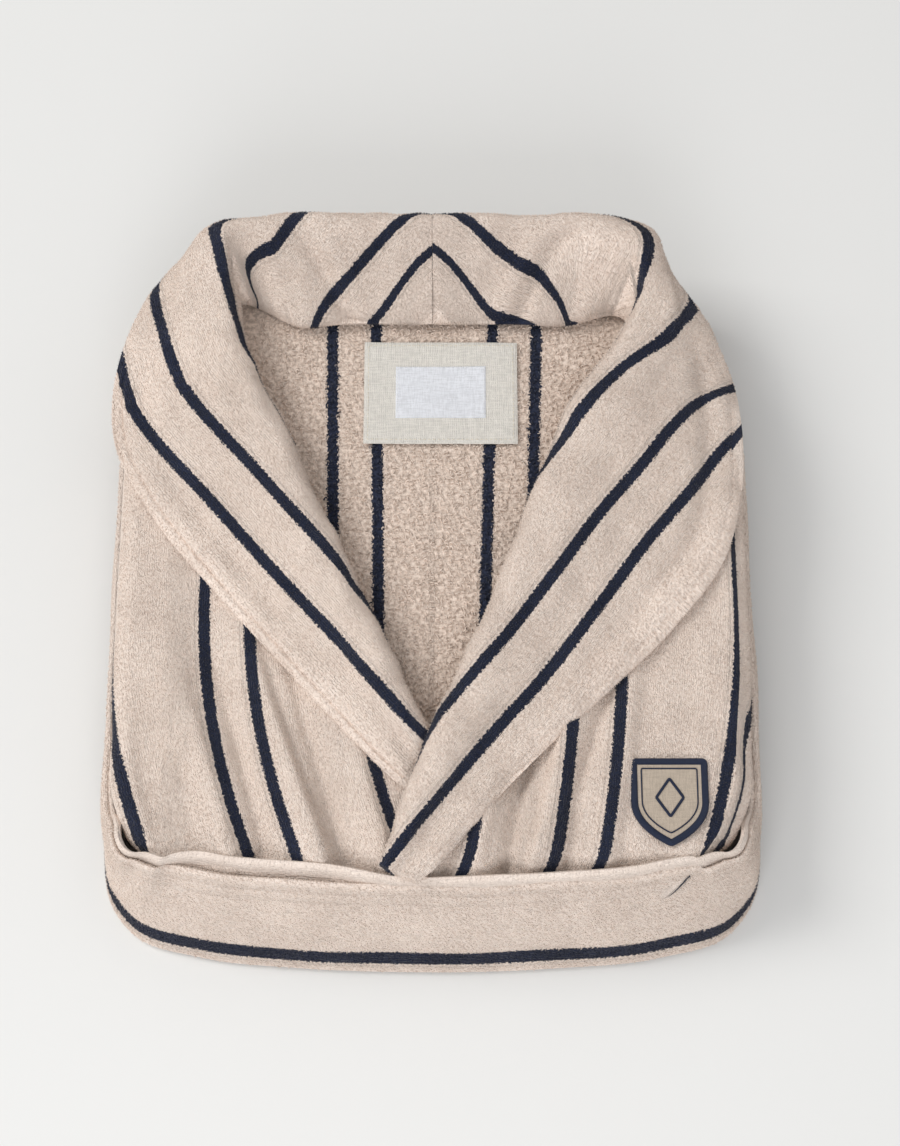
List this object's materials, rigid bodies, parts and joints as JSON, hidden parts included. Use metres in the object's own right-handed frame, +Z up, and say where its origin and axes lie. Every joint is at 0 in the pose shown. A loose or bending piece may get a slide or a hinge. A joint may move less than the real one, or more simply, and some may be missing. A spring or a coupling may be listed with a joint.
{
  "type": "folded bathrobe",
  "caption": "Striped velour towelling bathrobe with shawl collar, folded into a flat pack with its doubled belt standing round the waist fold.",
  "frame": {"origin": "centre of the underside of the folded pack", "axes": "+Z up out of the pack, +Y towards the collar and the rear fold, -Y towards the belt and the waist fold, +X across the shoulders to the right of a viewer who stands at the belt"},
  "size_m": [0.368, 0.442, 0.0947],
  "materials": {
    "striped_velour": "shorn velour towelling, beige with paired navy stripes",
    "terry_loop": "uncut terry loops, beige with paired navy stripes",
    "natural_linen": "plain-weave natural linen",
    "white_satin": "woven satin label, blank",
    "crest_twill": "beige twill ground",
    "navy_thread": "navy satin-stitch embroidery"
  },
  "bodies": {
    "root": {"back_panel": "terry_loop", "front_panel_left": "striped_velour", "front_panel_right": "striped_velour", "pocket_left": "striped_velour", "pocket_right": "striped_velour", "sleeve_left": "striped_velour", "sleeve_right": "striped_velour", "cuff_left": "striped_velour", "cuff_right": "striped_velour", "collar_back_left": "striped_velour", "collar_back_right": "striped_velour", "belt_loop_left": "striped_velour", "belt_loop_right": "striped_velour", "neck_patch": "natural_linen", "woven_label": "white_satin", "crest_ground": "crest_twill", "crest_border": "navy_thread", "crest_motif": "navy_thread"},
    "left_lapel": {"lapel_left": "striped_velour"},
    "right_lapel": {"lapel_right": "striped_velour"},
    "waist_belt": {"belt": "striped_velour"}
  },
  "joints": [
    {"name": "lapel_left_lift", "type": "hinge", "parent": "root", "child": "left_lapel", "pos_m": [-0.0955, 0.121, 0.0648], "axis": [-0.4013, 0.916, 0], "range_deg": [0, 45]},
    {"name": "lapel_right_lift", "type": "hinge", "parent": "root", "child": "right_lapel", "pos_m": [0.0955, 0.121, 0.0697], "axis": [-0.3759, -0.9267, 0], "range_deg": [0, 45]},
    {"name": "belt_slide", "type": "slide", "parent": "root", "child": "waist_belt", "axis": [0, -1, 0], "range_m": [0, 0.22]}
  ]
}
